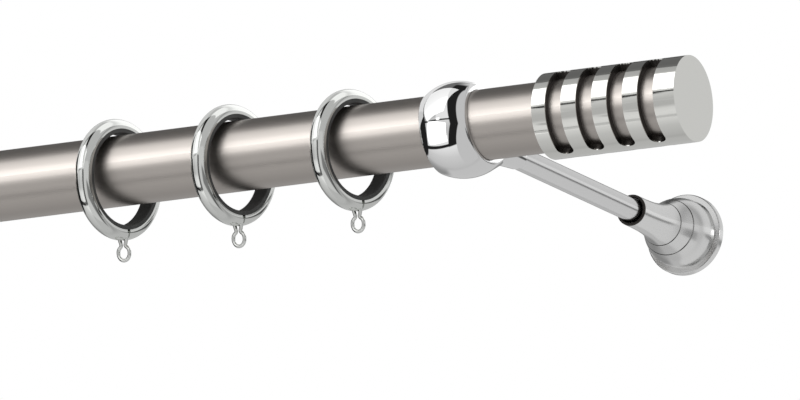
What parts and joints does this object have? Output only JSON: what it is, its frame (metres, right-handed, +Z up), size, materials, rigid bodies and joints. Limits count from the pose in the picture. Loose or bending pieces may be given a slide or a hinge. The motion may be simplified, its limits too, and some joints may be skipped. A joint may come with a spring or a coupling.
{
  "type": "curtain rod",
  "caption": "End of a metal curtain rod with a slotted barrel finial, a ball-shaped cup on a stem with a trumpet-shaped wall cover, and lined rings with wire eyes.",
  "frame": {"origin": "centre of the wall plate's back face, on the stem's axis", "axes": "+X along the rod towards the finial, +Y into the wall, +Z up"},
  "size_m": [0.337, 0.2196, 0.0561],
  "materials": {
    "satin_nickel": "satin nickel",
    "polished_nickel": "polished nickel",
    "ring_nickel": "polished nickel",
    "chrome": "bright chrome",
    "satin_stem": "fine satin",
    "brushed_nickel": "brushed round its axis",
    "liner_grey": "matt",
    "zinc_steel": "zinc plated",
    "screw_steel": "dark steel"
  },
  "bodies": {
    "bracket_and_rod": {"rod_tube": "satin_nickel", "finial_barrel": "polished_nickel", "finial_grub_screw": "screw_steel", "cup_bracket": "chrome", "cup_grub_screw": "screw_steel", "stem": "satin_stem", "wall_plate": "zinc_steel", "stem_grub_screw": "screw_steel", "wall_cover": "brushed_nickel"},
    "ring_1": {"ring_shell_1": "ring_nickel", "ring_liner_1": "liner_grey", "ring_eye_1": "ring_nickel"},
    "ring_2": {"ring_shell_2": "ring_nickel", "ring_liner_2": "liner_grey", "ring_eye_2": "ring_nickel"},
    "ring_3": {"ring_shell_3": "ring_nickel", "ring_liner_3": "liner_grey", "ring_eye_3": "ring_nickel"}
  },
  "joints": [
    {"name": "ring_1_slide", "type": "slide", "parent": "bracket_and_rod", "child": "ring_1", "axis": [1, 0, 0], "range_m": [-0.07, 0.0215]},
    {"name": "ring_2_slide", "type": "slide", "parent": "bracket_and_rod", "child": "ring_2", "axis": [1, 0, 0], "range_m": [-0.0215, 0.0225]},
    {"name": "ring_3_slide", "type": "slide", "parent": "bracket_and_rod", "child": "ring_3", "axis": [1, 0, 0], "range_m": [-0.0225, 0.026]}
  ]
}
